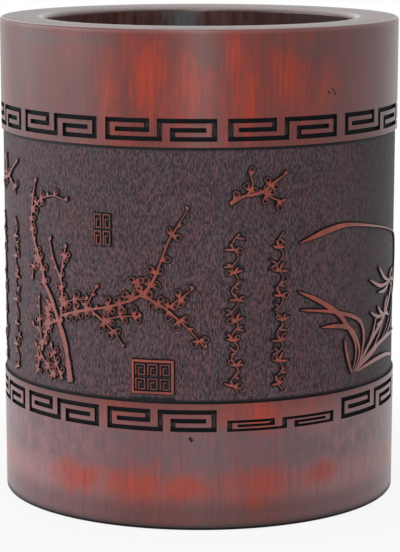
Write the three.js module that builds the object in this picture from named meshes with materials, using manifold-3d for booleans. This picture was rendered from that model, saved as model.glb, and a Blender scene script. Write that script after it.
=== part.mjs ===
// A carved bamboo pencil holder: one length of thick culm wall with a floor disc let into its foot.
// Millimetres, +Z up. The origin is the centre of the plane that the foot stands on.
import * as THREE from 'three';
import { mergeVertices } from 'three/addons/utils/BufferGeometryUtils.js';
import Module from 'manifold-3d';

// The culm wall
const HEIGHT = 132;
const RIM_RADIUS = 55;
const FOOT_RADIUS = 54.6;
const BORE_RADIUS = 43;
const RIM_ROUND = 0.9;
const LIP_ROUND = 1.6;
const FOOT_ROUND = 0.8;
const ROUND_STEPS = 2;
const GIRTH_SEGMENTS = 52;

// The sunk panel between the two fret bands
const PANEL_BOTTOM = 34.1;
const PANEL_TOP = 101.5;
const PANEL_DEPTH = 0.5;

// The fret: a key that winds in, crosses over and winds out, repeated round each band
const FRET_COUNT = 11;
const FRET_FIRST = -57.8;
const FRET_DRIFT = 8.6;
const FRET_DRIFT_PHASE = 124;
const FRET_GAP_SHARE = 0.085;
const FRET_HEIGHT = 5.9;
const FRET_MARGIN = 1.55;
const FRET_BAR = 1.22;
const FRET_POST = 1.4;
const FRET_DEPTH = 0.9;
const FRET_SPIRAL_SHARE = 0.41;
const CUTTER_MARGIN = 2;
const CUTTER_STEP_DEGREES = 12;
const FRET_SHORT_UNIT = 2;
const FRET_SHORT_HEIGHT = 3;
const FRET_SHORT_BAR = 0.72;

// The floor disc and its seat in the foot
const FLOOR_THICKNESS = 8;
const FLOOR_RECESS = 1.5;
const SEAT_LEDGE = 4.5;
const SEAT_CHAMFER = 0.6;
const DISC_CHAMFER = 0.5;
const CLEARANCE = 0.3;

// The relief left standing in the panel. Places are in the unrolled wall: mm round it from its front
// towards +X, and mm up. A stroke has its points from the plant's foot, and its widths at its two ends.
const RELIEF_STEP = 8;
const PLUM_FOOT = [-37.5, 37.5];
const PLUM_BRANCHES = [
  [[[0, 0], [-1.6, 9.5], [-4, 15.5], [-7.4, 22.3], [-9.6, 25]], 1.6, 1],
  [[[-9.6, 25], [-10.8, 29.5], [-13.4, 34.5], [-15.6, 40], [-15.4, 44.5], [-13.6, 52.5]], 0.85, 0.3],
  [[[-3.6, 15], [-2.9, 20], [-3, 26.5], [-6, 32.5], [-7.4, 37.5]], 0.7, 0.3],
  [[[-4.4, 16], [-8, 14.4], [-10.4, 9.6], [-11.2, 7]], 0.7, 0.5],
  [[[-8.4, 14], [-8.2, 20.5]], 0.65, 0.3],
  [[[-11, 8], [-12, 13], [-12.4, 21]], 0.5, 0.25],
  [[[-5.8, 0.4], [-9.8, 4], [-12.8, 7.2]], 0.6, 0.3],
  [[[-3, 0.4], [-5.4, 4.6], [-7.2, 8.8]], 0.6, 0.3],
  [[[-14, 0.5], [-12.8, 4], [-13.8, 8]], 0.6, 0.3],
  [[[-2.9, 17.6], [2, 19.2], [7.5, 20.4], [13.5, 21.8], [19, 23.6]], 0.65, 0.6],
  [[[18, 23.2], [22.2, 25.6], [25.2, 29.4], [29.2, 39.6], [31, 42.6], [34.3, 48]], 0.85, 0.25],
  [[[21.6, 25], [26.4, 23.2], [30.4, 20.2], [35, 16], [38.8, 11.6]], 0.6, 0.2],
  [[[7, 20.2], [11.2, 17.4], [14.4, 14.6], [16.8, 11.2]], 0.55, 0.25],
];
// A leaf has its points, its widest width, and a lean: the larger, the nearer its tip it is widest
const ORCHID_FOOT = [46.5, 38.5];
const LEAF_TIP = 0.3;
const ORCHID_LEAVES = [
  [[[0, 0], [1.6, 5], [0.8, 9], [-4.2, 15.4], [-7.6, 18.2], [-13.4, 21.6], [-19.6, 24.4]], 1.4, 1.5],
  [[[1.4, 0.5], [4.2, 4.4], [5.2, 10], [2.4, 14.4], [-7.4, 17.7], [-18.8, 19.4]], 1, 1],
  [[[0.8, 0.3], [3.2, 5.5], [0.4, 11], [-4, 13.4], [-11.9, 14.1]], 1.25, 1.5],
  [[[-0.2, 0], [-2.2, 5.2], [-3.3, 9.4]], 0.9, 0.9],
  [[[2, 0.8], [17, 7], [28, 17], [33, 27], [31, 33.2], [22, 36.4], [8, 39.2], [-3, 40.6], [-10, 39.8],
    [-19.4, 37.2]], 1.5, 8],
  [[[1, 0.3], [9, 4.4], [18.4, 6.6], [31, 7.2]], 1.2, 0.8],
  [[[1.5, 0.8], [9, 7.4], [20, 14.6], [30, 25]], 1.3, 0.9],
  [[[2, 0.2], [10, 1.6], [20, 1.8], [31, -0.4]], 1.1, 0.8],
  [[[1.2, 0.6], [6, 4.6], [10.4, 9.6], [12.6, 14.6]], 0.9, 0.9],
];
const ORCHID_FLOWERS = [
  [[[2, 0.6], [12, 5], [23, 8.6], [28, 14], [26.4, 19], [23, 22]], [[-15, 2.4], [-9.4, 5.2], [-9.6, -1.9]]],
  [[[1.6, 0.8], [8, 3.6], [13.4, 7.6], [18.2, 13.4]], [[-9.4, 2], [-5, 3], [-5.6, -2.2]]],
];
const ORCHID_STEM = 0.5;
const PETAL_WIDTH = 1;
const PETAL_LEAN = 1.1;
const BAMBOO_FOOT = [-203.5, 38];
const BAMBOO_CULMS = [[0, 0.05, 2.2, 6], [9, -0.02, 1.5, 5], [-9, -0.1, 1.1, 6]];
const BAMBOO_JOINT = 7.5;
const BAMBOO_JOINT_GAIN = 0.8;
const BAMBOO_JOINT_GAP = 0.45;
const BAMBOO_TAPER = 0.12;
const BAMBOO_TWIG = [5.5, 3.2];
const BAMBOO_LEAF = 7.5;
const BAMBOO_LEAF_WIDTH = 1.25;
const BAMBOO_SPRAY = [[-0.3, 1], [0.25, 0.9]];
const BAMBOO_SPRAY_TURN = 0.75;
const CHRYSANTHEMUM_FOOT = [-117, 37.5];
const CHRYSANTHEMUM_STEMS = [
  [[[0, 0], [1, 12], [-3, 24], [-6, 36]], 6.6],
  [[[1, 0], [5, 11], [9, 20], [13, 29]], 5.6],
  [[[-1, 0], [-5, 8], [-12, 14], [-17, 19]], 4.6],
];
const CHRYSANTHEMUM_STEM = [0.9, 0.5];
const CHRYSANTHEMUM_PETALS = 10;
const CHRYSANTHEMUM_EYE = 0.45;
const SPRIG_ANGLES = [-164, -72, 16, 103];
const SPRIG_HEIGHT = 90.5;
const SPRIG_BRANCHES = [
  [[[-7.6, -3.6], [-4.2, -1.8], [0.4, -1], [3.6, 1.2], [7.4, 3.6]], 0.9, 0.3],
  [[[-3, -1.6], [-1.6, 1.2], [-2.4, 4.2]], 0.55, 0.25],
  [[[1, -0.8], [4.2, -2.6], [6.6, -3.4]], 0.45, 0.25],
];
const SQUARE_CENTRE = [-12.7, 41.1];
const SQUARE_HALF = [5.4, 4.2];
const SQUARE_LINE = 0.6;

const degrees = THREE.MathUtils.degToRad;
const wasm = await Module();
wasm.setup();
const { Manifold, Mesh } = wasm;

// Angles are measured round the wall from its front, which faces -Y, towards +X
function bearing(angle) {
  return degrees(angle - 90);
}

// Solids
function toSolid(geometry) {
  const bare = geometry.clone();
  bare.deleteAttribute('normal');
  bare.deleteAttribute('uv');
  const merged = mergeVertices(bare, 1e-4);
  return new Manifold(new Mesh({
    numProp: 3,
    vertProperties: new Float32Array(merged.attributes.position.array),
    triVerts: new Uint32Array(merged.index.array),
  }));
}

function toGeometry(solid) {
  const mesh = solid.getMesh();
  const geometry = new THREE.BufferGeometry();
  geometry.setAttribute('position', new THREE.BufferAttribute(mesh.vertProperties, 3));
  geometry.setIndex(new THREE.BufferAttribute(mesh.triVerts, 1));
  return geometry;
}

function joined(solids) {
  return solids.reduce((whole, solid) => whole.add(solid));
}

function turned(profile) {
  const geometry = new THREE.LatheGeometry(profile, GIRTH_SEGMENTS);
  geometry.rotateX(Math.PI / 2);
  return geometry;
}

// A quarter round of the profile, from one angle to another about a centre
function quarterRound(centreR, centreZ, radius, from, to) {
  return Array.from({ length: ROUND_STEPS + 1 }, (_, step) => {
    const angle = degrees(from + (to - from) * step / ROUND_STEPS);
    return new THREE.Vector2(centreR + radius * Math.cos(angle), centreZ + radius * Math.sin(angle));
  });
}

// The culm narrows a little towards its foot
function outerRadius(z) {
  return FOOT_RADIUS + (RIM_RADIUS - FOOT_RADIUS) * z / HEIGHT;
}

const seatRadius = BORE_RADIUS + SEAT_LEDGE;
const seatTop = FLOOR_RECESS + FLOOR_THICKNESS + CLEARANCE;

function culmWall() {
  const profile = [
    ...quarterRound(FOOT_RADIUS - FOOT_ROUND, FOOT_ROUND, FOOT_ROUND, -90, 0),
    ...quarterRound(RIM_RADIUS - RIM_ROUND, HEIGHT - RIM_ROUND, RIM_ROUND, 0, 90),
    ...quarterRound(BORE_RADIUS + LIP_ROUND, HEIGHT - LIP_ROUND, LIP_ROUND, 90, 180),
    new THREE.Vector2(BORE_RADIUS, seatTop),
    new THREE.Vector2(seatRadius, seatTop),
    new THREE.Vector2(seatRadius, SEAT_CHAMFER),
    new THREE.Vector2(seatRadius + SEAT_CHAMFER, 0),
  ];
  profile.push(profile[0].clone());
  return toSolid(turned(profile));
}

// Where a fret unit starts. The bands were set out by eye, so the steps drift over one turn.
function fretStart(unit) {
  const turn = 360 * unit / FRET_COUNT;
  return FRET_FIRST + turn + FRET_DRIFT * (Math.sin(degrees(turn - FRET_DRIFT_PHASE)) +
    Math.sin(degrees(FRET_DRIFT_PHASE)));
}

// A closed ring about the axis, from a slanted inner face out past the wall
function turnedRing(innerBottom, innerTop, outer, bottom, top) {
  const profile = [
    new THREE.Vector2(innerBottom, bottom),
    new THREE.Vector2(outer, bottom),
    new THREE.Vector2(outer, top),
    new THREE.Vector2(innerTop, top),
  ];
  profile.push(profile[0].clone());
  return toSolid(turned(profile));
}

// A block right through the surface between two angles and two heights
function wallBlock(fromAngle, toAngle, fromZ, toZ) {
  const outside = Math.max(RIM_RADIUS, FOOT_RADIUS) + CUTTER_MARGIN;
  const inside = Math.min(RIM_RADIUS, FOOT_RADIUS) - FRET_DEPTH - CUTTER_MARGIN;
  const steps = Math.max(1, Math.ceil((toAngle - fromAngle) / CUTTER_STEP_DEGREES));
  const outline = new THREE.Shape();
  outline.absarc(0, 0, outside, bearing(fromAngle), bearing(toAngle), false);
  outline.absarc(0, 0, inside, bearing(toAngle), bearing(fromAngle), true);
  const block = new THREE.ExtrudeGeometry(outline, {
    depth: toZ - fromZ, curveSegments: steps, bevelEnabled: false,
  });
  block.translate(0, 0, fromZ);
  return toSolid(block);
}

// One unit: its left half winds in, and its right half is the same key turned through half a turn
function fretUnit(unit, bottom, height, bar) {
  const start = fretStart(unit);
  const width = (fretStart(unit + 1) - start) * (1 - FRET_GAP_SHARE);
  const post = THREE.MathUtils.radToDeg(FRET_POST / FOOT_RADIUS);
  const spiral = width * FRET_SPIRAL_SHARE;
  const middle = (height - bar) / 2;
  const key = [
    [0, spiral, height - bar, height],
    [0, post, 0, height],
    [0, (width + post) / 2, 0, bar],
    [spiral - post, spiral, middle, height],
    [2 * post, spiral, middle, middle + bar],
  ];
  const blocks = [[(width - post) / 2, (width + post) / 2, 0, height], ...key,
    ...key.map(([from, to, low, high]) => [width - to, width - from, height - high, height - low])];
  return joined(blocks.map(([from, to, low, high]) =>
    wallBlock(start + from, start + to, bottom + low, bottom + high)));
}

// A whole band, cut down to a floor that keeps FRET_DEPTH under the tapering wall
function fretBand(bottom, shortUnit) {
  const units = Array.from({ length: FRET_COUNT }, (_, unit) => (unit === shortUnit
    ? fretUnit(unit, bottom, FRET_SHORT_HEIGHT, FRET_SHORT_BAR)
    : fretUnit(unit, bottom, FRET_HEIGHT, FRET_BAR)));
  const low = bottom - CUTTER_MARGIN;
  const high = bottom + FRET_HEIGHT + CUTTER_MARGIN;
  const cutDepth = turnedRing(outerRadius(low) - FRET_DEPTH, outerRadius(high) - FRET_DEPTH,
    Math.max(RIM_RADIUS, FOOT_RADIUS) + CUTTER_MARGIN + 1, low, high);
  return joined(units).intersect(cutDepth);
}

// How wide a stroke of the relief is along its length
function taper(start, end) {
  return (t) => start + (end - start) * t;
}

function blade(widest, lean) {
  return (t) => LEAF_TIP + (widest - LEAF_TIP) * Math.sin(Math.PI * t ** lean);
}

function splineFrom(foot, places) {
  return new THREE.SplineCurve(places.map(([u, z]) => new THREE.Vector2(foot[0] + u, foot[1] + z)));
}

// A stroke of the relief: a box bent along its line, right through the surface of the wall
function stroke(line, widthAt) {
  const spans = Math.max(1, Math.round(line.getLength() / RELIEF_STEP));
  const points = line.getSpacedPoints(spans);
  const outside = Math.max(RIM_RADIUS, FOOT_RADIUS) + 2 * CUTTER_MARGIN;
  const inside = Math.min(RIM_RADIUS, FOOT_RADIUS) - PANEL_DEPTH - CUTTER_MARGIN;
  const ribbon = new THREE.BoxGeometry(1, 1, 1, spans, 1, 1);
  const corners = ribbon.attributes.position;
  for (let corner = 0; corner < corners.count; corner += 1) {
    const step = Math.round((corners.getX(corner) + 0.5) * spans);
    const before = points[Math.max(step - 1, 0)];
    const along = points[Math.min(step + 1, spans)].clone().sub(before).normalize();
    const aside = corners.getY(corner) * widthAt(step / spans);
    const angle = (points[step].x - along.y * aside) / RIM_RADIUS;
    const radius = corners.getZ(corner) > 0 ? outside : inside;
    corners.setXYZ(corner, radius * Math.sin(angle), -radius * Math.cos(angle),
      points[step].y + along.x * aside);
  }
  return toSolid(ribbon);
}

function plumTree() {
  return PLUM_BRANCHES.map(([places, start, end]) =>
    stroke(splineFrom(PLUM_FOOT, places), taper(start, end)));
}

function orchid() {
  const leaves = ORCHID_LEAVES.map(([places, widest, lean]) =>
    stroke(splineFrom(ORCHID_FOOT, places), blade(widest, lean)));
  const flowers = ORCHID_FLOWERS.flatMap(([places, petals]) => {
    const stem = splineFrom(ORCHID_FOOT, places);
    const centre = stem.getPoint(1).toArray();
    return [stroke(stem, () => ORCHID_STEM),
      ...petals.map((tip) => stroke(splineFrom(centre, [[0, 0], tip]), blade(PETAL_WIDTH, PETAL_LEAN)))];
  });
  return [...leaves, ...flowers];
}

// A spray of leaves hangs from a twig at each upper joint, on one side and then the other
function bambooSpray(joint, side) {
  const twig = [joint[0] + side * BAMBOO_TWIG[0], joint[1] + BAMBOO_TWIG[1]];
  return BAMBOO_SPRAY.map(([spread, share]) => {
    const heading = -Math.PI / 2 + side * BAMBOO_SPRAY_TURN + spread;
    const tip = [Math.cos(heading) * BAMBOO_LEAF * share, Math.sin(heading) * BAMBOO_LEAF * share];
    return stroke(splineFrom(twig, [[0, 0], tip]), blade(BAMBOO_LEAF_WIDTH, 1));
  });
}

function bamboo() {
  return BAMBOO_CULMS.flatMap(([shift, lean, width, joints]) => {
    const parts = [];
    let [u, z] = [BAMBOO_FOOT[0] + shift, BAMBOO_FOOT[1]];
    for (let joint = 0; joint < joints; joint += 1) {
      const length = BAMBOO_JOINT + joint * BAMBOO_JOINT_GAIN;
      parts.push(stroke(splineFrom([u, z], [[0, 0], [lean * length, length]]),
        () => width - BAMBOO_TAPER * joint));
      [u, z] = [u + lean * length, z + length];
      if (joint > 1) parts.push(...bambooSpray([u, z], joint % 2 ? 1 : -1));
      z += BAMBOO_JOINT_GAP;
    }
    return parts;
  });
}

function chrysanthemum() {
  return CHRYSANTHEMUM_STEMS.flatMap(([places, size]) => {
    const stem = splineFrom(CHRYSANTHEMUM_FOOT, places);
    const centre = stem.getPoint(1).toArray();
    const widest = Math.PI * size / CHRYSANTHEMUM_PETALS;
    const petals = Array.from({ length: CHRYSANTHEMUM_PETALS }, (_, petal) => {
      const heading = 2 * Math.PI * petal / CHRYSANTHEMUM_PETALS;
      const [u, z] = [Math.cos(heading) * size, Math.sin(heading) * size];
      return stroke(splineFrom(centre, [[u * CHRYSANTHEMUM_EYE, z * CHRYSANTHEMUM_EYE], [u, z]]),
        taper(widest * CHRYSANTHEMUM_EYE, widest));
    });
    return [stroke(stem, taper(...CHRYSANTHEMUM_STEM)), ...petals];
  });
}

// A sprig of plum, four times round the wall
function plumSprigs() {
  return SPRIG_ANGLES.flatMap((angle) => SPRIG_BRANCHES.map(([places, start, end]) =>
    stroke(splineFrom([degrees(angle) * RIM_RADIUS, SPRIG_HEIGHT], places), taper(start, end))));
}

function squareFrame() {
  const [u, z] = SQUARE_HALF;
  const reach = SQUARE_LINE / 2;
  return [
    [[-u - reach, z], [u + reach, z]], [[-u - reach, -z], [u + reach, -z]],
    [[-u, -z], [-u, z]], [[u, -z], [u, z]],
  ].map((places) => stroke(splineFrom(SQUARE_CENTRE, places), () => SQUARE_LINE));
}

// The panel's ground is sunk round the relief, which stays flush with the wall
function panelGround() {
  const ground = turnedRing(outerRadius(PANEL_BOTTOM) - PANEL_DEPTH, outerRadius(PANEL_TOP) - PANEL_DEPTH,
    Math.max(RIM_RADIUS, FOOT_RADIUS) + CUTTER_MARGIN, PANEL_BOTTOM, PANEL_TOP);
  const relief = [...plumTree(), ...orchid(), ...bamboo(), ...chrysanthemum(), ...plumSprigs(),
    ...squareFrame()];
  return ground.subtract(joined(relief));
}

function carvedTube() {
  const upper = fretBand(PANEL_TOP + FRET_MARGIN, -1);
  const lower = fretBand(PANEL_BOTTOM - FRET_MARGIN - FRET_HEIGHT, FRET_SHORT_UNIT);
  return toGeometry(culmWall().subtract(panelGround()).subtract(upper).subtract(lower));
}

// The floor disc stands in its seat with a glue gap all round
function floorDisc() {
  const radius = seatRadius - CLEARANCE;
  const bottom = FLOOR_RECESS;
  const top = bottom + FLOOR_THICKNESS;
  return turned([
    new THREE.Vector2(0, bottom),
    new THREE.Vector2(radius - DISC_CHAMFER, bottom),
    new THREE.Vector2(radius, bottom + DISC_CHAMFER),
    new THREE.Vector2(radius, top - DISC_CHAMFER),
    new THREE.Vector2(radius - DISC_CHAMFER, top),
    new THREE.Vector2(0, top),
  ]);
}

// Assembly
function piece(name, geometry, color, roughness) {
  const mesh = new THREE.Mesh(geometry, new THREE.MeshStandardMaterial({ color, roughness, metalness: 0 }));
  mesh.name = name;
  return mesh;
}

const holder = new THREE.Group();
holder.add(piece('carved_tube', carvedTube(), 0x6f3229, 0.4));
holder.add(piece('base_disc', floorDisc(), 0x54281f, 0.55));

export default holder;
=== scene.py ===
# A carved bamboo pencil holder: stained and lacquered culm, two key-fret bands and a sunk relief panel.
# Sizes are in millimetres, and become metres where a mesh or a finish takes them. The studio is in metres.
import math
import random

import bpy
from mathutils import Matrix, Vector
from mathutils.geometry import delaunay_2d_cdt
from mathutils.kdtree import KDTree


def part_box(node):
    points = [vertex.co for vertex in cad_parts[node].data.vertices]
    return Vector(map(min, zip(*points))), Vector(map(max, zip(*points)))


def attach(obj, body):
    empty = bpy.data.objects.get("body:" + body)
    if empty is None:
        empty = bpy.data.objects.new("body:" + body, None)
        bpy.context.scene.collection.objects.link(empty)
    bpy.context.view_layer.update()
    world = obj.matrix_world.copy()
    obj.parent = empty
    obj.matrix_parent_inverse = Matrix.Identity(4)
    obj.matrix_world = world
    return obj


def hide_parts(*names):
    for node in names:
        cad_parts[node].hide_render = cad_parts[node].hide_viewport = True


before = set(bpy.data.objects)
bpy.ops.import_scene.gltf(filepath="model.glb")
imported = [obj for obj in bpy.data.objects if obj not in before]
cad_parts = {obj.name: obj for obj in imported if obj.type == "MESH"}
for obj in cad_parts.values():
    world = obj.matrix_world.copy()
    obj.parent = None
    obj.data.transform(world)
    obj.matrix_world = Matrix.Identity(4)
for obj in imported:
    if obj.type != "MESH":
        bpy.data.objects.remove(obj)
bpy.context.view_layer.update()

MM = 0.001

# The culm wall, as the frame holds it
tube_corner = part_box("carved_tube")[1] / MM
HEIGHT = tube_corner.z
RIM_RADIUS = tube_corner.x
FOOT_NARROWER = 0.4
FOOT_RADIUS = RIM_RADIUS - FOOT_NARROWER
BORE_RADIUS = 43.0
BORE_STEPS = 3
SKIN_STEPS = 3
RIM_ROUND = 0.9
LIP_ROUND = 1.6
FOOT_ROUND = 0.8
SEAT_LEDGE = 4.5
SEAT_TOP = 9.8
SEAT_CHAMFER = 0.6

# The mesh of the wall: its columns and rows, how near a point of the grid may lie to a carved line, how wide
# a stroke is before it gets points down its middle, and what counts as the same place
COLUMNS = 240
PANEL_ROW = 2.0
BAND_ROW = 6.0
GRID_CLEARANCE = 0.35
MOAT_CLEARANCE = 0.3
MOAT_MARGIN = 0.4
RIDGE_HALF = 0.42
STROKE_SPACING = 0.7
PETAL_SPACING = 0.6
CLOSE = 1e-4
CLOSEST = 1e-5

# The sunk panel: its edges, and how deep its ground, its hollows and its fine lines lie
PANEL_BOTTOM = 34.1
PANEL_TOP = 101.5
PANEL_DEPTH = 0.5
MOAT_DEPTH = 0.12
MOAT_REACH = 0.9
CROWN = 0.04
FINE_DEPTH = 0.16
NICK_DEPTH = 0.2

# The fret bands: angles in degrees, then lengths
FRET_COUNT = 11
FRET_FIRST = -57.8
FRET_DRIFT = 8.6
FRET_DRIFT_PHASE = 124
FRET_GAP_SHARE = 0.085
FRET_HEIGHT = 5.9
FRET_MARGIN = 1.55
FRET_BAR = 1.22
FRET_POST = 1.4
FRET_DEPTH = 0.9
FRET_SPIRAL_SHARE = 0.41
FRET_SHORT_UNIT = 2
FRET_SHORT_HEIGHT = 3.0
FRET_SHORT_BAR = 0.72
SEAM_UNIT = -6

# The main lines of the relief, each a row of points counted from the plant's foot. The plum's have a width
# at the root and one at the tip.
PLUM_SEED = 11
PLUM_FOOT = (-37.5, 37.5)
PLUM_TRUNK = ([(0, 0), (-1.6, 9.5), (-4.0, 15.5), (-7.4, 22.3), (-9.6, 25.0)], 1.6, 1.0)
PLUM_BRANCHES = [
    ([(-9.6, 25.0), (-10.8, 29.5), (-13.4, 34.5), (-15.6, 40.0), (-15.4, 44.5), (-13.6, 52.5)], 0.85, 0.3),
    ([(-3.6, 15.0), (-2.9, 20.0), (-3.0, 26.5), (-6.0, 32.5), (-7.4, 37.5)], 0.7, 0.3),
    ([(-4.4, 16.0), (-8.0, 14.4), (-10.4, 9.6), (-11.2, 7.0)], 0.7, 0.5),
    ([(-8.4, 14.0), (-8.2, 20.5)], 0.65, 0.3),
    ([(-11.0, 8.0), (-12.0, 13.0), (-12.4, 21.0)], 0.5, 0.25),
    ([(-5.8, 0.4), (-9.8, 4.0), (-12.8, 7.2)], 0.6, 0.3),
    ([(-3.0, 0.4), (-5.4, 4.6), (-7.2, 8.8)], 0.6, 0.3),
    ([(-14.0, 0.5), (-12.8, 4.0), (-13.8, 8.0)], 0.6, 0.3),
    ([(-2.9, 17.6), (2.0, 19.2), (7.5, 20.4), (13.5, 21.8), (19.0, 23.6)], 0.65, 0.6),
    ([(18.0, 23.2), (22.2, 25.6), (25.2, 29.4), (29.2, 39.6), (31.0, 42.6), (34.3, 48.0)], 0.85, 0.25),
    ([(21.6, 25.0), (26.4, 23.2), (30.4, 20.2), (35.0, 16.0), (38.8, 11.6)], 0.6, 0.2),
    ([(7.0, 20.2), (11.2, 17.4), (14.4, 14.6), (16.8, 11.2)], 0.55, 0.25),
]
PLUM_TWIGS = [
    ([(-15.5, 43.5), (-13.2, 46.6), (-9.5, 48.6), (-5.5, 49.4), (-1.0, 48.6)], 0.4, 0.2),
    ([(-3.2, 27.0), (-2.4, 31.5), (-1.4, 36.0)], 0.45, 0.25),
    ([(-12.6, 33.0), (-14.6, 30.2), (-15.6, 26.0)], 0.4, 0.2),
    ([(-11.7, 12.2), (-15.4, 13.4)], 0.32, 0.2),
    ([(-6.6, 21.0), (-8.8, 16.0), (-9.6, 9.0)], 0.35, 0.2),
    ([(-2.9, 21.0), (1.6, 22.4), (6.0, 23.0)], 0.35, 0.2),
    ([(5.0, 20.0), (8.8, 26.4)], 0.32, 0.2),
    ([(11.0, 17.6), (15.8, 19.2), (21.6, 19.6)], 0.4, 0.2),
    ([(18.6, 23.4), (20.8, 28.8)], 0.35, 0.2),
    ([(28.4, 21.8), (32.2, 24.6), (35.6, 27.2)], 0.35, 0.2),
]

# Each orchid leaf has its widest width, and how far that place leans to the root. Each flower has its stem
# and the reach of its petals.
ORCHID_FOOT = (46.5, 38.5)
ORCHID_LEAVES = [
    ([(0, 0), (1.6, 5), (0.8, 9), (-4.2, 15.4), (-7.6, 18.2), (-13.4, 21.6), (-19.6, 24.4)], 1.4, 1.5),
    ([(1.4, 0.5), (4.2, 4.4), (5.2, 10), (2.4, 14.4), (-7.4, 17.7), (-18.8, 19.4)], 1.0, 1.0),
    ([(0.8, 0.3), (3.2, 5.5), (0.4, 11), (-4, 13.4), (-11.9, 14.1)], 1.25, 1.5),
    ([(-0.2, 0), (-2.2, 5.2), (-3.3, 9.4)], 0.9, 0.9),
    ([(2, 0.8), (17, 7), (28, 17), (33, 27), (31, 33.2), (22, 36.4), (8, 39.2), (-3, 40.6), (-10, 39.8),
      (-19.4, 37.2)], 1.5, 8.0),
    ([(1, 0.3), (9, 4.4), (18.4, 6.6), (31, 7.2)], 1.2, 0.8),
    ([(1.5, 0.8), (9, 7.4), (20, 14.6), (30, 25)], 1.3, 0.9),
    ([(2, 0.2), (10, 1.6), (20, 1.8), (31, -0.4)], 1.1, 0.8),
    ([(1.2, 0.6), (6, 4.6), (10.4, 9.6), (12.6, 14.6)], 0.9, 0.9),
]
ORCHID_PETAL = 1.0
ORCHID_STEM = 0.5
ORCHID_FLOWERS = [
    ([(2, 0.6), (12, 5), (23, 8.6), (28.0, 14), (26.4, 19), (23, 22)],
     [(-15, 2.4), (-9.4, 5.2), (-9.6, -1.9), (4, 3), (6, -1)]),
    ([(1.6, 0.8), (8, 3.6), (13.4, 7.6), (18.2, 13.4)],
     [(-9.4, 2), (-5, 3), (-5.6, -2.2), (3, 4.8), (4.4, -1)]),
]

# Each bamboo culm has its shift, lean, width and joints, and each chrysanthemum its stem and the head's size
BAMBOO_FOOT = (-203.5, 38)
BAMBOO_CULMS = [(0, 0.05, 2.2, 6), (9, -0.02, 1.5, 5), (-9, -0.1, 1.1, 6)]
BAMBOO_JOINT = 7.5
BAMBOO_JOINT_GAIN = 0.8
BAMBOO_JOINT_GAP = 0.45
BAMBOO_JOINT_TAPER = 0.12
BAMBOO_TWIG = (5.5, 3.2)
BAMBOO_LEAF = 7.5
CHRYSANTHEMUM_FOOT = (-117, 37.5)
CHRYSANTHEMUM_STEMS = [
    ([(0, 0), (1, 12), (-3, 24), (-6, 36)], 6.6),
    ([(1, 0), (5, 11), (9, 20), (13, 29)], 5.6),
    ([(-1, 0), (-5, 8), (-12, 14), (-17, 19)], 4.6),
]
CHRYSANTHEMUM_LEAF = 5.2

# Blossoms, and how much of a twig carries them
BLOSSOM_LINE = 0.22
BLOSSOM_STEPS = 16
BLOSSOM_SIZE = 1.9
BLOSSOM_GAP = 5
SMALL_BLOSSOM_SIZE = 1.5
SMALL_BLOSSOM_GAP = 4
STAMEN_LINE = 0.18
BUD_LINE = 0.25
FLOWERED_SHARE = 0.86
CLOSED_SHARE = 0.3

# Sprigs and vines between the plants, nicks in the skin, and the two ornaments of square spirals
SPRIG_SEED = 23
SPRIG_ANGLES = (-164, -72, 16, 103)
SPRIG_HEIGHT = 90.5
SPRIG_BLOSSOM_SIZE = 1.8
SPRIG_BRANCHES = [
    ([(-7.6, -3.6), (-4.2, -1.8), (0.4, -1.0), (3.6, 1.2), (7.4, 3.6)], 0.9, 0.3),
    ([(-3.0, -1.6), (-1.6, 1.2), (-2.4, 4.2)], 0.55, 0.25),
    ([(1.0, -0.8), (4.2, -2.6), (6.6, -3.4)], 0.45, 0.25),
]
VINE_SEEDS = (3, 13)
VINE_SHIFT = 6.2
VINE_TOP = 79.5
VINE_BOTTOM = 37.0
VINE_PITCH = 6.0
VINE_SWAY = 0.9
VINE_STEM = 0.3
NICK_SPACING = 0.5
NICKS = [
    ([(35.6, 115.2), (36.5, 114.2)], 0.35),
    ([(37.4, 115.6), (38.4, 113.9)], 0.4),
    ([(-2.9, 25.2), (-2.5, 24.8), (-2.1, 24.2)], 0.85),
]
SQUARE_CENTRE = (-12.7, 41.1)
SQUARE_HALF = (5.4, 4.2)
SQUARE_LINE = 0.6
SQUARE_SPIRAL_HALF = (1.2, 1.35)
SQUARE_SPIRAL_LINE = 0.24
STACK_CENTRE = (-26.8, 79.4)
STACK_SHIFT = 1.35
STACK_LIFT = 2.2
STACK_SPIRAL_HALF = (0.95, 1.7)
STACK_SPIRAL_LINE = 0.28

# Where the stain is warmest and dullest: a place on the unrolled wall, and the reach across and up
WARM_PATCHES = [
    (36.0, 116.0, 5.0, 9.0), (-25.0, 115.0, 2.6, 6.0), (-13.0, 119.0, 6.0, 12.0), (-3.8, 116.0, 4.0, 9.0),
    (8.6, 124.0, 3.5, 9.0), (12.5, 114.0, 5.0, 10.0), (23.0, 118.5, 6.0, 11.0), (-36.0, 12.5, 9.0, 6.0),
    (-18.0, 12.5, 10.0, 6.5), (-4.0, 11.0, 8.0, 4.0), (17.0, 13.0, 8.0, 7.0), (16.4, 29.5, 5.0, 7.0),
    (14.5, 7.0, 4.0, 3.0), (35.0, 13.0, 7.0, 4.0), (90.0, 118.0, 14.0, 9.0), (-100.0, 116.0, 16.0, 10.0),
    (140.0, 12.0, 16.0, 6.0), (-80.0, 12.0, 12.0, 6.0), (-140.0, 13.0, 14.0, 6.0), (70.0, 12.0, 9.0, 5.0),
]
DULL_PATCHES = [
    (2.6, 125.0, 4.0, 4.0), (19.0, 128.5, 6.0, 2.5), (-46.0, 128.0, 15.0, 1.8), (-28.0, 128.6, 8.0, 1.5),
    (-22.0, 17.0, 7.0, 2.2), (3.5, 20.0, 5.0, 2.2), (30.0, 127.0, 8.0, 4.0), (-8.0, 21.0, 8.0, 2.5),
]

# The photograph's view
IMAGE_HEIGHT = 552
FOCAL_PIXELS = 2433.2
SENSOR = 36.0
CAMERA_PLACE = (-0.0032, -0.6753, 0.1742)
CAMERA_HEADING = -0.29
CAMERA_PITCH = 9.697
CAMERA_ROLL = 0.04

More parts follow.
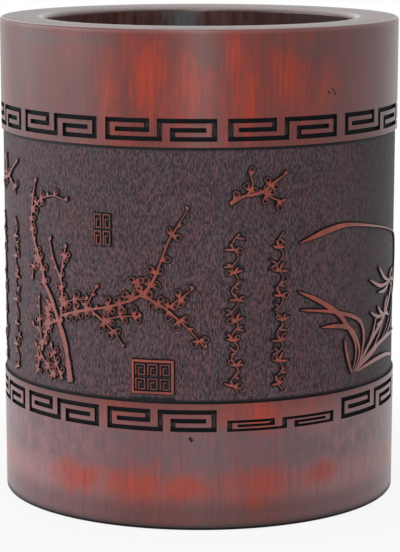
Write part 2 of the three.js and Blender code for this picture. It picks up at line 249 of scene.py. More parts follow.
# The studio's light: how bright the room is to matt surfaces and the floor at the foot, and the lamps, each
# with its place and size in metres and its power in watts
ROOM_LEVEL = 0.35
GLOW_AT_FOOT = 0.88
FLOOR_REACH = 6.0
LAMP_TARGET = (0, 0, 0.07)
SOFTBOXES = [
    ("key_softbox", (-0.15, -1.25, 1.25), (0.7, 0.7), 5),
    ("front_strip", (0.0, -1.7, 0.36), (0.25, 0.9), 7),
    ("left_back_softbox", (-1.5, 0.15, 0.30), (1.6, 0.7), 8),
    ("left_front_softbox", (-1.4, -0.7, 0.30), (0.8, 0.7), 4),
]


# The wall unrolled: u runs round it from the front towards +X, and z runs up
def arc(angle):
    return math.radians(angle) * RIM_RADIUS


def outer_radius(z):
    return FOOT_RADIUS + (RIM_RADIUS - FOOT_RADIUS) * z / HEIGHT


def rolled(u, z, level):
    angle = u / RIM_RADIUS
    radius = outer_radius(z) + level
    return Vector((radius * math.sin(angle), -radius * math.cos(angle), z)) * MM


def fret_start(unit):
    turn = 360 * unit / FRET_COUNT
    drift = math.sin(math.radians(turn - FRET_DRIFT_PHASE)) + math.sin(math.radians(FRET_DRIFT_PHASE))
    return FRET_FIRST + turn + FRET_DRIFT * drift


def fret_width(unit):
    return (fret_start(unit + 1) - fret_start(unit)) * (1 - FRET_GAP_SHARE)


seam_gap = fret_start(SEAM_UNIT) - fret_start(SEAM_UNIT - 1) - fret_width(SEAM_UNIT - 1)
SEAM = arc(fret_start(SEAM_UNIT) - seam_gap / 2)
GIRTH = arc(360)


def straight(start, end, spacing=1.0):
    start, end = Vector(start), Vector(end)
    steps = max(1, math.ceil((end - start).length / spacing))
    return [start.lerp(end, step / steps) for step in range(steps + 1)]


# What is cut and what is left standing: outlines in the unrolled wall
class Carving:
    def __init__(self):
        self.points = []
        self.faces = []
        self.kinds = []
        self.ridges = []
        self.moats = []

    def block(self, kind, corners):
        outline = []
        for corner, after in zip(corners, corners[1:] + corners[:1]):
            outline += straight(corner, after)[:-1]
        first = len(self.points)
        self.points += outline
        self.faces.append(list(range(first, first + len(outline))))
        self.kinds.append(kind)

    def wedge(self, kind, corners):
        first, second, third = corners
        area = (second - first).cross(third - first)
        if abs(area) > CLOSE:
            self.block(kind, corners if area > 0 else corners[::-1])

    def stroke(self, line, width, closed=False, kind="relief"):
        count = len(line)
        sides = []
        for index, point in enumerate(line):
            before = line[index - 1] if closed or index else point
            after = line[(index + 1) % count] if closed or index < count - 1 else point
            along = (after - before).normalized()
            across = Vector((-along.y, along.x))
            half = width(index / (count if closed else count - 1)) / 2
            sides.append((point - across * half, point + across * half))
            if half > RIDGE_HALF:
                self.ridges.append(point)
            if index % 2:
                reach = half + MOAT_REACH / 2
                self.moats += [point - across * reach, point + across * reach]
        spans = list(zip(sides, sides[1:]))
        if closed:
            spans.append((sides[-1], sides[0]))
        for (right, left), (next_right, next_left) in spans:
            for corners in ((right, next_right, next_left), (right, next_left, left)):
                self.wedge(kind, corners)


# A smooth line through given points
def through(points, spacing=STROKE_SPACING):
    points = [Vector(point) for point in points]
    ends = [points[0], *points, points[-1]]
    line = []
    for before, start, end, after in zip(ends, ends[1:], ends[2:], ends[3:]):
        steps = max(1, round((end - start).length / spacing))
        for step in range(steps):
            t = step / steps
            line.append(0.5 * (2 * start + (end - before) * t
                               + (2 * before - 5 * start + 4 * end - after) * t ** 2
                               + (3 * start - before - 3 * end + after) * t ** 3))
    line.append(points[-1])
    return line


def direction(angle):
    return Vector((math.cos(angle), math.sin(angle)))


def placed(points, foot):
    return through([Vector(foot) + Vector(point) for point in points])


# How wide a stroke is along its length, from its root at 0 to its tip at 1
def even(width):
    return lambda t: width


def knotty(start, end, phase=0.0):
    def width(t):
        knots = 1 + 0.12 * math.sin(17 * t + phase) + 0.08 * math.sin(41 * t + 2 * phase)
        return (start + (end - start) * t) * knots
    return width


def blade(widest, tip=0.18, lean=0.8):
    def width(t):
        return (tip + (widest - tip) * math.sin(math.pi * t ** lean)) * min(1, 0.3 + 9 * (1 - t))
    return width


# The fret bands
def fret_unit(carving, unit, bottom, height, bar):
    start = arc(fret_start(unit))
    width = arc(fret_width(unit))
    spiral = width * FRET_SPIRAL_SHARE
    middle = (height - bar) / 2
    key = [
        ("bar", 0, spiral, height - bar, height),
        ("post", 0, FRET_POST, 0, height),
        ("bar", 0, (width + FRET_POST) / 2, 0, bar),
        ("post", spiral - FRET_POST, spiral, middle, height),
        ("bar", 2 * FRET_POST, spiral, middle, middle + bar),
    ]
    centre = [("post", (width - FRET_POST) / 2, (width + FRET_POST) / 2, 0, height)]
    turned = [(kind, width - right, width - left, height - high, height - low)
              for kind, left, right, low, high in key]
    for kind, left, right, low, high in centre + key + turned:
        carving.block(kind, ((start + left, bottom + low), (start + right, bottom + low),
                             (start + right, bottom + high), (start + left, bottom + high)))


def fret_bands(carving):
    for unit in range(SEAM_UNIT, SEAM_UNIT + FRET_COUNT):
        fret_unit(carving, unit, PANEL_TOP + FRET_MARGIN, FRET_HEIGHT, FRET_BAR)
        short = unit % FRET_COUNT == FRET_SHORT_UNIT
        height, bar = (FRET_SHORT_HEIGHT, FRET_SHORT_BAR) if short else (FRET_HEIGHT, FRET_BAR)
        fret_unit(carving, unit, PANEL_BOTTOM - FRET_MARGIN - FRET_HEIGHT, height, bar)


# Flowers and leaves of the relief
def ring(centre, radius, squash, turn, steps):
    points = []
    for step in range(steps):
        angle = 2 * math.pi * step / steps
        x = radius * math.cos(angle)
        y = radius * squash * math.sin(angle)
        points.append(centre + Vector((x * math.cos(turn) - y * math.sin(turn),
                                       x * math.sin(turn) + y * math.cos(turn))))
    return points


def calyx(carving, root, heading, size):
    for spread, reach in ((-2.2, 0.3), (-0.8, 0.42), (0.8, 0.42), (2.2, 0.3)):
        carving.stroke([root - direction(heading) * 0.25, root + direction(heading + spread) * size * reach],
                       lambda t: 0.8 - 0.55 * t)


def blossom(carving, root, heading, size, mouth=0.7):
    middle = root + direction(heading) * size * 0.5
    outline = []
    for step in range(BLOSSOM_STEPS + 1):
        angle = heading + math.pi + mouth + 2 * (math.pi - mouth) * step / BLOSSOM_STEPS
        uneven = 0.92 + 0.1 * math.sin(3 * (angle - heading) + 9 * mouth) + 0.06 * math.sin(5 * angle)
        outline.append(middle + direction(angle) * size * 0.5 * uneven)
    carving.stroke(outline, even(BLOSSOM_LINE), kind="fine")
    for spread in (-0.5, 0.4):
        stamen = [root, root + direction(heading + spread) * size * 0.62]
        carving.stroke(stamen, even(STAMEN_LINE), kind="fine")
    calyx(carving, root, heading, size)


def bud(carving, place, size):
    carving.stroke(ring(place, size, 0.8, 0.6, 9), even(BUD_LINE), True)


def closed_bud(carving, root, heading):
    for spread, reach in ((-0.5, 0.7), (0.1, 1.1), (0.7, 0.65)):
        carving.stroke([root, root + direction(heading + spread) * reach], lambda t: 0.65 - 0.4 * t)


def flowers_along(carving, line, chance, gap, size):
    for step in range(2, round(len(line) * FLOWERED_SHARE), gap):
        along = line[step + 1] - line[step - 1]
        forward = math.atan2(along.y, along.x)
        side = chance.choice((-1, 1))
        if chance.random() < CLOSED_SHARE:
            closed_bud(carving, line[step], forward + side * 0.9)
            continue
        for turn in (0.85, -1.4, 2.2)[:chance.choice((1, 2, 2, 3))]:
            heading = forward + side * turn + chance.uniform(-0.25, 0.25)
            root = line[step] + direction(heading) * chance.uniform(0.4, 0.9)
            blossom(carving, root, heading, size * chance.uniform(0.8, 1.15), chance.uniform(0.5, 1.1))


def plum_tree(carving):
    chance = random.Random(PLUM_SEED)
    places, start, end = PLUM_TRUNK
    carving.stroke(placed(places, PLUM_FOOT), knotty(start, end))
    for number, (places, start, end) in enumerate(PLUM_BRANCHES + PLUM_TWIGS):
        line = placed(places, PLUM_FOOT)
        carving.stroke(line, knotty(start, end, number))
        near_trunk = line[-1].x < PLUM_FOOT[0] + 2
        gap = SMALL_BLOSSOM_GAP if near_trunk else BLOSSOM_GAP
        size = SMALL_BLOSSOM_SIZE if near_trunk else BLOSSOM_SIZE
        flowers_along(carving, line, chance, gap, size)
        closed_bud(carving, line[-1], chance.uniform(0.6, 2.4))


def petal(carving, centre, reach):
    tip = centre + Vector(reach)
    bow = Vector((centre.y - tip.y, tip.x - centre.x)) * 0.1
    line = through([centre, (centre + tip) / 2 + bow, tip], PETAL_SPACING)
    carving.stroke(line, blade(ORCHID_PETAL, 0.2, 1.1))


def orchid(carving):
    for places, widest, lean in ORCHID_LEAVES:
        carving.stroke(placed(places, ORCHID_FOOT), blade(widest, 0.3, lean))
    for places, petals in ORCHID_FLOWERS:
        line = placed(places, ORCHID_FOOT)
        carving.stroke(line, even(ORCHID_STEM))
        for reach in petals:
            petal(carving, line[-1], reach)
        bud(carving, line[-1] + Vector((0.6, 1.2)), 0.5)


def bamboo_leaves(carving, place, turn, leaf_length):
    for spread, share in ((-0.9, 0.75), (-0.3, 1.0), (0.25, 0.9), (0.8, 0.65)):
        tip = place + direction(turn + spread) * leaf_length * share
        sag = Vector((0, -0.06 * leaf_length))
        carving.stroke(through([place, (place + tip) / 2 - sag, tip]), blade(1.25, 0.15))


def bamboo(carving):
    for shift, lean, width, joints in BAMBOO_CULMS:
        place = Vector(BAMBOO_FOOT) + Vector((shift, 0))
        for joint in range(joints):
            length = BAMBOO_JOINT + joint * BAMBOO_JOINT_GAIN
            end = place + Vector((lean * length, length))
            carving.stroke(straight(place, end), even(width - BAMBOO_JOINT_TAPER * joint))
            side = 1 if joint % 2 else -1
            if joint > 1:
                twig = end + Vector((side * BAMBOO_TWIG[0], BAMBOO_TWIG[1]))
                carving.stroke(through([end, (end + twig) / 2 + Vector((0, 0.6)), twig]), even(0.35))
                bamboo_leaves(carving, twig, -math.pi / 2 + side * 0.75, BAMBOO_LEAF)
            place = end + Vector((0, BAMBOO_JOINT_GAP))


def chrysanthemum_head(carving, centre, size):
    for reach, petals, wide in ((1.0, 16, 0.19), (0.58, 11, 0.16)):
        for number in range(petals):
            heading = 2 * math.pi * number / petals + reach
            middle = centre + direction(heading) * size * reach * 0.72
            carving.stroke(ring(middle, size * reach * 0.26, wide * 2.2, heading, 9), even(0.26), True)
    bud(carving, centre, size * 0.14)


def chrysanthemum(carving):
    for places, size in CHRYSANTHEMUM_STEMS:
        line = placed(places, CHRYSANTHEMUM_FOOT)
        carving.stroke(line, knotty(0.9, 0.5))
        for step in range(8, len(line) - 12, 7):
            side = 1 if (step // 7) % 2 else -1
            for spread in (0.2, 0.75, 1.3):
                heading = math.pi / 2 - side * (0.3 + spread)
                tip = line[step] + direction(heading) * CHRYSANTHEMUM_LEAF
                carving.stroke(through([line[step], (line[step] + tip) / 2, tip]), blade(1.5))
        chrysanthemum_head(carving, line[-1], size)


# Small ornaments between the plants
def plum_sprig(carving, centre, seed):
    chance = random.Random(seed)
    for number, (places, start, end) in enumerate(SPRIG_BRANCHES):
        line = placed(places, centre)
        carving.stroke(line, knotty(start, end, seed + number))
        flowers_along(carving, line, chance, BLOSSOM_GAP, SPRIG_BLOSSOM_SIZE)
        closed_bud(carving, line[-1], chance.uniform(0.2, 1.2))


def vine_leaf(carving, root, side, lift, reach, widest, kind):
    tip = root + Vector((side * math.cos(lift), math.sin(lift))) * reach
    carving.stroke(through([root, (root + tip) / 2, tip], PETAL_SPACING), blade(widest), kind=kind)


def vine(carving, middle, seed):
    chance = random.Random(seed)
    turns = int((VINE_TOP - VINE_BOTTOM) / VINE_PITCH)
    first = 1 if seed % 2 else -1
    places = [(first * VINE_SWAY * (-1) ** turn, turn * VINE_PITCH / 2) for turn in range(2 * turns + 1)]
    line = placed(places, (middle, VINE_BOTTOM))
    carving.stroke(line, even(VINE_STEM), kind="fine")
    per_turn = (len(line) - 1) / turns
    for turn in range(turns):
        side = first * (-1) ** turn
        start = line[round(per_turn * (turn + chance.uniform(0.1, 0.35)))]
        heading = math.pi / 2 - side * chance.uniform(0.7, 1.7)
        blossom(carving, start + direction(heading) * 0.6, heading, chance.uniform(1.4, 1.9), 0.8)
        for lift in (chance.uniform(-0.1, 0.4), chance.uniform(0.8, 1.2)):
            vine_leaf(carving, start, -side, lift, chance.uniform(1.9, 2.8), 0.6, "relief")
        upper = line[round(per_turn * (turn + chance.uniform(0.6, 0.85)))]
        for lift in (chance.uniform(0.3, 0.8), chance.uniform(-0.6, -0.1)):
            vine_leaf(carving, upper, side, lift, chance.uniform(1.6, 2.6), 0.55, "fine")


def squared_line(carving, start, end, width, kind="relief"):
    along = (end - start).normalized() * width / 2
    carving.stroke(straight(start - along, end + along), even(width), kind=kind)


def square_border(carving, centre, half, width):
    left, bottom = centre - half
    right, top = centre + half
    corners = [(left, bottom), (right, bottom), (right, top), (left, top)]
    for start, end in zip(corners, corners[1:] + corners[:1]):
        squared_line(carving, Vector(start), Vector(end), width)


def square_spiral(carving, centre, half, width):
    x, y = half
    corners = [(-x, -y), (-x, y), (x, y), (x, -y), (-0.35 * x, -y)]
    corners += [(-0.35 * x, 0.3 * y), (0.35 * x, 0.3 * y)]
    for start, end in zip(corners, corners[1:]):
        squared_line(carving, centre + Vector(start), centre + Vector(end), width, "fine")


def spiral_square(carving):
    centre, half = Vector(SQUARE_CENTRE), Vector(SQUARE_HALF)
    square_border(carving, centre, half, SQUARE_LINE)
    for column in range(-1, 2):
        for row in (-1, 1):
            place = centre + Vector((column * half.x * 0.62, row * half.y * 0.46))
            square_spiral(carving, place, SQUARE_SPIRAL_HALF, SQUARE_SPIRAL_LINE)


def stacked_spirals(carving):
    for shift in (-STACK_SHIFT, STACK_SHIFT):
        for lift in (-STACK_LIFT, STACK_LIFT):
            place = Vector(STACK_CENTRE) + Vector((shift, lift))
            square_spiral(carving, place, STACK_SPIRAL_HALF, STACK_SPIRAL_LINE)


def relief(carving):
    plum_tree(carving)
    orchid(carving)
    bamboo(carving)
    chrysanthemum(carving)
    for quarter, angle in enumerate(SPRIG_ANGLES):
        for side, seed in zip((-1, 1), VINE_SEEDS):
            vine(carving, arc(angle) + side * VINE_SHIFT, seed + quarter)
        plum_sprig(carving, (arc(angle), SPRIG_HEIGHT), SPRIG_SEED + quarter)
    spiral_square(carving)
    stacked_spirals(carving)
    for places, width in NICKS:
        carving.stroke(through(places, NICK_SPACING), even(width), kind="nick")


# The unrolled wall cut into triangles, each with its kind. Where outlines cross, the first kind here wins.
WORKED_KINDS = ["bar", "post", "nick", "relief", "fine"]


def tree_of(points):
    tree = KDTree(len(points))
    for index, point in enumerate(points):
        tree.insert((*point, 0), index)
    tree.balance()
    return tree


def distance_to(tree, point):
    return tree.find((*point, 0))[2]


def wall_grid(carving):
    rows = [FOOT_ROUND, PANEL_BOTTOM, PANEL_TOP, HEIGHT - RIM_ROUND]
    heights = []
    for low, high, spacing in zip(rows, rows[1:], (BAND_ROW, PANEL_ROW, BAND_ROW)):
        steps = round((high - low) / spacing)
        heights += [low + (high - low) * step / steps for step in range(steps)]
    heights.append(rows[-1])
    crowded = tree_of(carving.points + carving.ridges)
    points = []
    edges = []
    for z in heights:
        first = len(points)
        for column in range(COLUMNS + 1):
            place = Vector((SEAM + GIRTH * column / COLUMNS, z))
            border = column in (0, COLUMNS) or z in rows
            if border or distance_to(crowded, place) > GRID_CLEARANCE:
                points.append(place)
            if z in rows and column:
                edges.append((first + column - 1, first + column))
    for moat in carving.moats:
        clear = PANEL_BOTTOM + MOAT_MARGIN < moat.y < PANEL_TOP - MOAT_MARGIN
        if clear and distance_to(crowded, moat) > MOAT_CLEARANCE:
            points.append(moat)
    return points + carving.ridges, edges


def kind_of(carving, source, middle):
    here = {carving.kinds[index] for index in source}
    for kind in WORKED_KINDS:
        if kind in here:
            return kind
    return "ground" if PANEL_BOTTOM < middle < PANEL_TOP else "skin"


def cut_wall(carving):
    grid, edges = wall_grid(carving)
    shift = len(grid)
    faces = [[corner + shift for corner in face] for face in carving.faces]
    cut = delaunay_2d_cdt(grid + carving.points, edges, faces, 0, CLOSEST, True)
    points, _, triangles, _, _, sources = cut
    kinds = []
    for triangle, source in zip(triangles, sources):
        middle = sum(points[corner].y for corner in triangle) / 3
        kinds.append(kind_of(carving, source, middle))
    return points, triangles, kinds


# The wall rolled up into one closed mesh: how deep each level lies, and which finish each face takes
DEPTHS = {"land": 0.0, "fine": -FINE_DEPTH, "nick": -NICK_DEPTH, "ground": -PANEL_DEPTH, "sunk": -FRET_DEPTH}
LEVEL_OF = {"skin": "land", "relief": "land", "bar": "sunk", "post": "sunk"}
SIDE_SLOTS = {"fine": "fine", "nick": "post", "ground": "ground", "sunk": "bar"}
SLOTS = ["skin", "relief", "fine", "ground", "bar", "post", "end_grain", "inside", "foot_edge"]


def quarter_round(centre_r, centre_z, radius, start, end, steps=6):
    turns = [math.radians(start + (end - start) * step / steps) for step in range(steps + 1)]
    return [(centre_r + radius * math.cos(turn), centre_z + radius * math.sin(turn)) for turn in turns]


def turned_profile():
    seat = BORE_RADIUS + SEAT_LEDGE
    rim = quarter_round(RIM_RADIUS - RIM_ROUND, HEIGHT - RIM_ROUND, RIM_ROUND, 0, 90)[1:]
    lip = quarter_round(BORE_RADIUS + LIP_ROUND, HEIGHT - LIP_ROUND, LIP_ROUND, 90, 180)
    drop = (HEIGHT - SEAT_TOP) / BORE_STEPS
    bore = [(BORE_RADIUS, HEIGHT - drop * step) for step in range(1, BORE_STEPS + 1)]
    foot = [(seat, SEAT_TOP), (seat, SEAT_CHAMFER), (seat + SEAT_CHAMFER, 0)]
    edge = quarter_round(FOOT_RADIUS - FOOT_ROUND, FOOT_ROUND, FOOT_ROUND, -90, 0)[:-1]
    slots = (["skin"] * SKIN_STEPS + ["end_grain"] * (len(rim) - SKIN_STEPS + len(lip))
             + ["inside"] * (len(bore) + 2) + ["end_grain"] * 2 + ["foot_edge"] * len(edge))
    return rim + lip + bore + foot + edge, slots


def wall_normal(place):
    z = place.z / MM
    if not FOOT_ROUND - CLOSE < z < HEIGHT - RIM_ROUND + CLOSE:
        return Vector()
    slope = (FOOT_RADIUS - RIM_RADIUS) / HEIGHT
    return Vector((*place.xy.normalized(), slope)).normalized()


class Wall:
    def __init__(self, carving):
        self.points, self.triangles, self.kinds = cut_wall(carving)
        self.vertices = []
        self.halo = []
        self.faces = []
        self.slots = []
        self.flat = []
        self.normals = []
        self.copies = {}
        self.join_seam()
        self.touched = self.kinds_round_corners()
        self.nearness = self.nearness_to_forms()

    def join_seam(self):
        left = {round(p.y, 4): i for i, p in enumerate(self.points) if abs(p.x - SEAM) < CLOSE}
        same = list(range(len(self.points)))
        for index, point in enumerate(self.points):
            if abs(point.x - SEAM - GIRTH) < CLOSE:
                same[index] = left[round(point.y, 4)]
        self.triangles = [[same[corner] for corner in triangle] for triangle in self.triangles]

    def kinds_round_corners(self):
        touched = {}
        for triangle, kind in zip(self.triangles, self.kinds):
            for corner in triangle:
                touched.setdefault(corner, set()).add(kind)
        return touched

    # 1 in the ground at the foot of a raised form, and 0 beyond the hollow round it
    def nearness_to_forms(self):
        ground = {index: kinds for index, kinds in self.touched.items() if "ground" in kinds}
        feet = tree_of([self.points[index] for index, kinds in ground.items() if len(kinds) > 1])
        return {index: max(0.0, 1 - distance_to(feet, self.points[index]) / MOAT_REACH) for index in ground}

    def vertex(self, corner, level):
        key = (corner, level)
        if key not in self.copies:
            u, z = self.points[corner]
            depth = DEPTHS[level]
            near = 0.0
            if level == "ground":
                near = self.nearness[corner]
                depth -= MOAT_DEPTH * near
            elif level == "land" and self.touched[corner] == {"relief", "ground"}:
                depth -= CROWN
            self.copies[key] = self.add(rolled(u, z, depth), near)
        return self.copies[key]

    def add(self, place, near=0.0):
        self.vertices.append(place)
        self.halo.append(near)
        return len(self.vertices) - 1

    def face(self, corners, slot, flat=False):
        self.faces.append(corners)
        self.slots.append(SLOTS.index(slot))
        self.flat.append(flat)
        turned = slot == "skin" and not flat
        self.normals += [wall_normal(self.vertices[corner]) if turned else Vector() for corner in corners]

    def surfaces(self):
        sides = {}
        for triangle, kind in zip(self.triangles, self.kinds):
            level = LEVEL_OF.get(kind, kind)
            slot = "post" if kind == "nick" else kind
            self.face([self.vertex(corner, level) for corner in triangle], slot)
            for start, end in zip(triangle, triangle[1:] + triangle[:1]):
                sides[(start, end)] = kind
        for (start, end), kind in sides.items():
            beyond = sides.get((end, start), kind)
            high, low = LEVEL_OF.get(kind, kind), LEVEL_OF.get(beyond, beyond)
            if DEPTHS[high] > DEPTHS[low]:
                corners = [self.vertex(end, high), self.vertex(start, high),
                           self.vertex(start, low), self.vertex(end, low)]
                self.face(corners, SIDE_SLOTS[low], True)

    def border(self, z):
        row = [(p.x, i) for i, p in enumerate(self.points)
               if abs(p.y - z) < CLOSEST and p.x < SEAM + GIRTH - CLOSE]
        return [self.vertex(index, "land") for _, index in sorted(row)]

    def turned_part(self):
        profile, slots = turned_profile()
        rings = [self.border(HEIGHT - RIM_ROUND)]
        angles = [(SEAM + GIRTH * column / COLUMNS) / RIM_RADIUS for column in range(COLUMNS)]
        for radius, z in profile:
            places = [Vector((radius * math.sin(turn), -radius * math.cos(turn), z)) * MM for turn in angles]
            rings.append([self.add(place) for place in places])
        rings.append(self.border(FOOT_ROUND))
        for lower, upper, slot in zip(rings, rings[1:], slots):
            for column in range(COLUMNS):
                after = (column + 1) % COLUMNS
                self.face([lower[column], lower[after], upper[after], upper[column]], slot)


def make_object(name, vertices, faces):
    mesh = bpy.data.meshes.new(name)
    mesh.from_pydata(vertices, [], faces)
    made = bpy.data.objects.new(name, mesh)
    bpy.context.scene.collection.objects.link(made)
    return made


def carved_wall(finishes):
    carving = Carving()
    fret_bands(carving)
    relief(carving)
    wall = Wall(carving)
    wall.surfaces()
    wall.turned_part()
    made = make_object("carved_wall", wall.vertices, wall.faces)
    mesh = made.data
    for slot in SLOTS:
        mesh.materials.append(finishes[slot])
    mesh.polygons.foreach_set("material_index", wall.slots)
    mesh.polygons.foreach_set("use_smooth", [not flat for flat in wall.flat])
    halo = mesh.attributes.new("halo", "FLOAT", "POINT")
    halo.data.foreach_set("value", wall.halo)
    mesh.update()
    mesh.normals_split_custom_set(wall.normals)
    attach(made, "root")
    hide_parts("carved_tube")


# Shader maths: a value, a colour or a place that varies over a surface
class Shade:
    def __init__(self, tree, socket=None):
        self.tree = tree
        self.socket = socket

    def node(self, kind, settings=None, sockets=None, output=0):
        made = self.tree.nodes.new(kind)
        for name, setting in (settings or {}).items():
            setattr(made, name, setting)
        for name, value in (sockets or {}).items():
            if isinstance(value, Shade):
                self.tree.links.new(value.socket, made.inputs[name])
            else:
                made.inputs[name].default_value = value
        return Shade(self.tree, made.outputs[output])

    def maths(self, operation, other=0.0):
        return self.node("ShaderNodeMath", {"operation": operation}, {0: self, 1: other})

    def __add__(self, other):
        return self.maths("ADD", other)

    def __mul__(self, other):
        return self.maths("MULTIPLY", other)

    def __sub__(self, other):
        return self.maths("SUBTRACT", other)

    def __rsub__(self, other):
        return self.node("ShaderNodeMath", {"operation": "SUBTRACT"}, {0: other, 1: self})

    def __abs__(self):
        return self.maths("ABSOLUTE")

    __radd__ = __add__
    __rmul__ = __mul__

    def larger(self, other):
        return self.maths("MAXIMUM", other)

    def vector(self, operation, other=(0, 0, 0), output=0):
        return self.node("ShaderNodeVectorMath", {"operation": operation}, {0: self, 1: other}, output)

    def length(self):
        return self.vector("LENGTH", output="Value")

    def along(self, axis):
        return self.node("ShaderNodeSeparateXYZ", None, {0: self}, axis)

    # From 0 to 1 between two values, or between two lengths in millimetres
    def ramp(self, low, high):
        settings = {"interpolation_type": "SMOOTHSTEP"}
        sockets = {"Value": self, "From Min": low, "From Max": high}
        return self.node("ShaderNodeMapRange", settings, sockets)

    def rise(self, low, high):
        return self.ramp(low * MM, high * MM)

    def noise(self, per_mm, detail):
        scaled = self.vector("MULTIPLY", tuple(density / MM for density in per_mm))
        return self.node("ShaderNodeTexNoise", None, {"Vector": scaled, "Scale": 1.0, "Detail": detail})

    # From the low colour at 0 to the high one at 1. A Mix node's sockets go by number, since names repeat.
    def between(self, low, high):
        return self.node("ShaderNodeMix", {"data_type": "RGBA"}, {0: self, 6: low, 7: high}, 2)


def srgb(red, green, blue):
    parts = [part / 255 for part in (red, green, blue)]
    return (*[p / 12.92 if p <= 0.04045 else ((p + 0.055) / 1.055) ** 2.4 for p in parts], 1.0)


class Finish:
    def __init__(self, name):
        self.material = bpy.data.materials.new(name)
        self.material.use_nodes = True
        self.tree = self.material.node_tree
        self.shader = self.tree.nodes["Principled BSDF"]
        self.start = Shade(self.tree)
        self.place = self.start.node("ShaderNodeTexCoord", output="Object")

    def feeds(self, socket, shade):
        self.tree.links.new(shade.socket, self.shader.inputs[socket])

    def bumps(self, height, millimetres):
        bump = self.start.node("ShaderNodeBump", None, {"Height": height, "Distance": millimetres * MM})
        self.feeds("Normal", bump)

    def fixed(self, **sockets):
        for name, value in sockets.items():
            self.shader.inputs[name.replace("_", " ")].default_value = value


# How far the colour turns towards the two sides: painted shade on the upper band, a painted pale sheen below
def side_shade_and_sheen(place):
    return abs(place.along("X")).rise(14, 44)


# How near a surface lies to the middle of any of the patches, their edges made ragged
def patches(place, spots, ragged):
    share = None
    for u, z, across, tall in spots:
        middle = rolled(u, z, 0)
        per_reach = tuple(1 / (size * MM) for size in (across, across, tall))
        distance = place.vector("SUBTRACT", middle).vector("MULTIPLY", per_reach).length()
        near = 1 - (distance + ragged).ramp(0.2, 1.35)
        share = near if share is None else share.larger(near)
    return share


def bamboo_skin():
    finish = Finish("stained_bamboo")
    place = finish.place
    height = place.along("Z")
    fibres = place.noise((2.8, 2.8, 0.1), 3)
    weave = place.noise((0.7, 0.7, 5.0), 2)
    streaks = place.noise((0.7, 0.7, 0.05), 3)
    threads = place.noise((1.3, 1.3, 0.06), 2)
    clouds = place.noise((0.1, 0.1, 0.06), 3)
    mottle = place.noise((0.3, 0.3, 0.22), 3)
    belt = 1 - abs(height - 21.5 * MM).rise(3, 9)
    lower = 1 - height.rise(24, 37)
    # The painted shade and sheen towards the two sides, which the colours below follow
    shade_and_sheen = side_shade_and_sheen(place)

    # The dull stain, and the warm patches that the threads of the culm break up
    ragged = (2.1 - 1.7 * lower) * (streaks - 0.5) + 0.8 * (fibres - 0.5) + 1.4 * (mottle - 0.5)
    broken = threads.ramp(0.4, 0.6).larger(0.7 * lower)
    warm = patches(place, WARM_PATCHES, ragged) * (1 - (0.6 - 0.35 * lower) * shade_and_sheen)
    glints = 0.4 * (clouds + 0.4 * threads).ramp(0.62, 0.84) * (1 - belt)
    warm = (warm * (0.45 + 0.75 * broken)).larger(glints * (1 - 0.75 * shade_and_sheen))
    # Towards the sides the upper band darkens, a painted shade, and the lower band pales, a painted sheen
    upper_dull = shade_and_sheen.between(srgb(110, 43, 38), srgb(94, 50, 51))
    lower_dull = shade_and_sheen.between(srgb(129, 75, 74), srgb(152, 108, 112))
    dull = lower.between(upper_dull, lower_dull)
    colour = warm.between(dull, lower.between(srgb(158, 44, 16), srgb(158, 58, 44)))

    # Orange and grey streaks, and the smoky places and belt
    orange = (streaks + 0.3 * mottle).ramp(0.62, 0.84) * (0.03 + 0.55 * warm) * (1 - 0.6 * lower)
    colour = orange.between(colour, srgb(188, 62, 20))
    grey = (1 - streaks + 0.5 * mottle).ramp(0.72, 0.98) * (0.3 - 0.15 * warm - 0.12 * shade_and_sheen)
    colour = grey.between(colour, srgb(84, 50, 49))
    mottled = belt * (0.2 + 0.6 * (mottle + 0.3 * streaks).ramp(0.42, 0.84))
    smoky = mottled.larger(0.65 * patches(place, DULL_PATCHES, ragged))
    smoke = shade_and_sheen.between(srgb(92, 52, 47), srgb(82, 62, 63))
    colour = smoky.between(colour, lower.between(smoke, srgb(99, 78, 85)))
    colour = ((fibres + 0.45 * weave).ramp(0.68, 0.92) * 0.26).between(colour, srgb(60, 26, 26))

    # Darker towards the bottom, and near black at the foot, painted contact shade where the floor meets it
    foot = 0.5 * (1 - height.rise(4.5, 10.5)) + 0.25 * (1 - height.rise(0.6, 3))
    foot = foot + 0.35 * (1 - height.rise(0.6, 1.9))
    colour = foot.between(colour, srgb(44, 26, 27))
    # A painted highlight along the rim's edge
    colour = (0.35 * height.rise(130.3, 131.4)).between(colour, srgb(150, 116, 113))
    finish.feeds("Base Color", colour)
    finish.feeds("Roughness", 0.28 + 0.08 * fibres + 0.25 * (1 - height.rise(0.6, 2.4)))
    finish.bumps(fibres + 0.5 * threads + 1.1 * weave, 0.02)
    return finish.material


def carved_relief():
    finish = Finish("carved_relief")
    place = finish.place
    fibres = place.noise((2.8, 2.8, 0.3), 3)
    tone = place.noise((0.2, 0.2, 0.14), 3).ramp(0.35, 0.65)
    across = place.along("X")
    colour = tone.between(srgb(128, 54, 42), srgb(160, 66, 46))
    # Paler towards both sides, most at the right: a painted sheen
    colour = (-1 * across).rise(14, 44).between(colour, srgb(150, 84, 80))
    colour = across.rise(38, 52).between(colour, srgb(172, 124, 122))
    finish.feeds("Base Color", (fibres.ramp(0.42, 0.7) * 0.35).between(colour, srgb(80, 40, 38)))
    finish.feeds("Roughness", 0.28 + 0.1 * fibres)
    finish.bumps(fibres, 0.04)
    return finish.material


def fine_relief():
    finish = Finish("fine_relief")
    place = finish.place
    fibres = place.noise((2.8, 2.8, 0.6), 3)
    tone = place.noise((0.4, 0.4, 0.3), 3).ramp(0.35, 0.65)
    colour = tone.between(srgb(98, 52, 46), srgb(136, 66, 54))
    finish.feeds("Base Color", (fibres.ramp(0.42, 0.7) * 0.4).between(colour, srgb(56, 34, 34)))
    finish.feeds("Roughness", 0.42 + 0.12 * fibres)
    finish.bumps(fibres, 0.05)
    return finish.material


